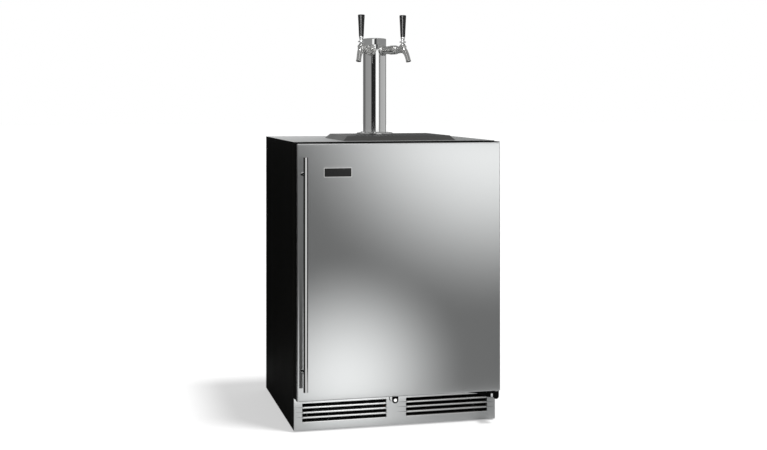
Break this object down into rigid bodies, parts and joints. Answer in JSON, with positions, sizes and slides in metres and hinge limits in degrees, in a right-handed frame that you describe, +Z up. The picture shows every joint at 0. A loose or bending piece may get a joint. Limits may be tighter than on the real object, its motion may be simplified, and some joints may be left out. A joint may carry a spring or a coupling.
{
  "type": "draft beer dispenser",
  "caption": "Undercounter draft beer cooler with one hinged stainless door, lock, kick grille, drip tray and a chrome tower with lever taps.",
  "frame": {"origin": "on the floor, under the middle of the box round the whole object", "axes": "+Z up, the door faces -Y, +X to the hinge side"},
  "size_m": [0.606, 0.6664, 1.2149],
  "materials": {
    "black_steel": "satin black enamel on steel sheet",
    "grey_steel": "zinc grey painted steel",
    "compressor_paint": "black enamel on a drawn steel casing",
    "brushed_top": "brushed stainless steel, grain from side to side",
    "brushed_door": "brushed stainless steel, grain from side to side",
    "brushed_grille": "brushed stainless steel",
    "brushed_liner": "stainless steel sheet",
    "handle_steel": "fine ground stainless steel",
    "bright_fasteners": "bright zinc plated steel",
    "chrome": "polished chrome",
    "black_gloss": "glossy black",
    "tray_grey": "fine grained dark grey",
    "grid_grey": "fine grained dark grey",
    "black_plastic": "satin black",
    "foot_steel": "dark zinc plated steel",
    "white_plastic": "satin white",
    "clear_line": "milky tube",
    "gasket_rubber": "matt dark grey rubber",
    "fin_aluminium": "bare aluminium fins",
    "copper": "bare copper tube",
    "tail_brass": "turned brass",
    "foam": "cut polyurethane foam"
  },
  "bodies": {
    "cabinet": {"side_panels": "black_steel", "rear_panel": "black_steel", "top_panel": "brushed_top", "face_frame": "black_steel", "base_frame": "grey_steel", "foam_insulation": "foam", "inner_liner": "brushed_liner", "front_grille": "brushed_grille", "compressor": "compressor_paint", "compressor_mounts": "gasket_rubber", "condenser_coil": "fin_aluminium", "fan_motors": "grey_steel", "refrigerant_lines": "copper", "power_gland": "black_plastic", "evaporator_cover": "white_plastic", "evaporator_coil": "fin_aluminium", "thermostat_housing": "white_plastic", "light_bar": "white_plastic", "hinge_brackets": "black_steel", "hinge_hardware": "bright_fasteners", "lock_housing": "black_plastic", "drip_tray": "tray_grey", "tower_flange": "chrome", "tower_fasteners": "bright_fasteners", "tower_column": "chrome", "tower_cap": "chrome", "tower_sleeve": "foam", "line_plate": "white_plastic", "shanks": "chrome", "coupling_nuts": "chrome", "faucet_bodies": "chrome", "bonnets": "chrome", "beer_lines": "clear_line", "line_tails": "tail_brass"},
    "door": {"door_skin": "brushed_door", "door_frame": "black_steel", "door_core": "foam", "door_liner": "white_plastic", "door_gasket": "gasket_rubber", "handle_bar": "handle_steel", "handle_posts": "handle_steel", "badge_bezel": "chrome", "badge_inlay": "black_gloss", "hinge_bushes": "white_plastic"},
    "left_lever": {"lever_left": "chrome", "tap_handle_left": "black_gloss"},
    "right_lever": {"lever_right": "chrome", "tap_handle_right": "black_gloss"},
    "left_plunger": {"plunger_left": "bright_fasteners"},
    "right_plunger": {"plunger_right": "bright_fasteners"},
    "lock_cylinder": {"lock_barrel": "chrome"},
    "bolt": {"lock_bolt": "bright_fasteners"},
    "front_left_foot": {"foot_front_left": "foot_steel"},
    "front_right_foot": {"foot_front_right": "foot_steel"},
    "rear_left_foot": {"foot_rear_left": "foot_steel"},
    "rear_right_foot": {"foot_rear_right": "foot_steel"},
    "grid": {"drip_grid": "grid_grey"},
    "condenser_blades": {"condenser_fan": "black_plastic"},
    "evaporator_blades": {"evaporator_fan": "white_plastic"},
    "knob": {"thermostat_knob": "black_plastic"}
  },
  "joints": [
    {"name": "door_hinge", "type": "hinge", "parent": "cabinet", "child": "door", "pos_m": [0.294, -0.25875, 0.4667], "axis": [0, 0, 1], "range_deg": [0, 110]},
    {"name": "left_lever_tilt", "type": "hinge", "parent": "cabinet", "child": "left_lever", "pos_m": [-0.06528, -0.04522, 1.1215], "axis": [0.8434, -0.5373, 0], "range_deg": [0, 38]},
    {"name": "right_lever_tilt", "type": "hinge", "parent": "cabinet", "child": "right_lever", "pos_m": [0.06528, -0.04522, 1.1215], "axis": [0.8434, 0.5373, 0], "range_deg": [0, 38]},
    {"name": "left_plunger_slide", "type": "slide", "parent": "cabinet", "child": "left_plunger", "axis": [-0.5373, -0.8434, 0], "range_m": [-0.00554, 0]},
    {"name": "right_plunger_slide", "type": "slide", "parent": "cabinet", "child": "right_plunger", "axis": [0.5373, -0.8434, 0], "range_m": [-0.00554, 0]},
    {"name": "lock_turn", "type": "hinge", "parent": "cabinet", "child": "lock_cylinder", "pos_m": [-0.011, -0.25275, 0.085], "axis": [0, -1, 0], "range_deg": [0, 90]},
    {"name": "lock_bolt_slide", "type": "slide", "parent": "cabinet", "child": "bolt", "axis": [0, 0, 1], "range_m": [0, 0.01]},
    {"name": "grid_lift", "type": "slide", "parent": "cabinet", "child": "grid", "axis": [0, 0, 1], "range_m": [0, 0.06]},
    {"name": "condenser_fan_spin", "type": "hinge", "parent": "cabinet", "child": "condenser_blades", "pos_m": [-0.134, -0.12675, 0.0525], "axis": [0, 1, 0], "continuous": true},
    {"name": "evaporator_fan_spin", "type": "hinge", "parent": "cabinet", "child": "evaporator_blades", "pos_m": [0, 0.21825, 0.6625], "axis": [0, 1, 0], "continuous": true},
    {"name": "thermostat_turn", "type": "hinge", "parent": "cabinet", "child": "knob", "pos_m": [0.192, -0.18175, 0.7705], "axis": [0, -1, 0], "range_deg": [0, 270]},
    {"name": "front_left_level", "type": "slide", "parent": "cabinet", "child": "front_left_foot", "axis": [0, 0, -1], "range_m": [0, 0.025]},
    {"name": "front_right_level", "type": "slide", "parent": "cabinet", "child": "front_right_foot", "axis": [0, 0, -1], "range_m": [0, 0.025]},
    {"name": "rear_left_level", "type": "slide", "parent": "cabinet", "child": "rear_left_foot", "axis": [0, 0, -1], "range_m": [0, 0.025]},
    {"name": "rear_right_level", "type": "slide", "parent": "cabinet", "child": "rear_right_foot", "axis": [0, 0, -1], "range_m": [0, 0.025]}
  ],
  "couplings": [
    {"joint": "left_plunger_slide", "follows": "left_lever_tilt", "m_per_rad": -0.008353},
    {"joint": "right_plunger_slide", "follows": "right_lever_tilt", "m_per_rad": -0.008353},
    {"joint": "lock_bolt_slide", "follows": "lock_turn", "m_per_rad": 0.0063662}
  ]
}
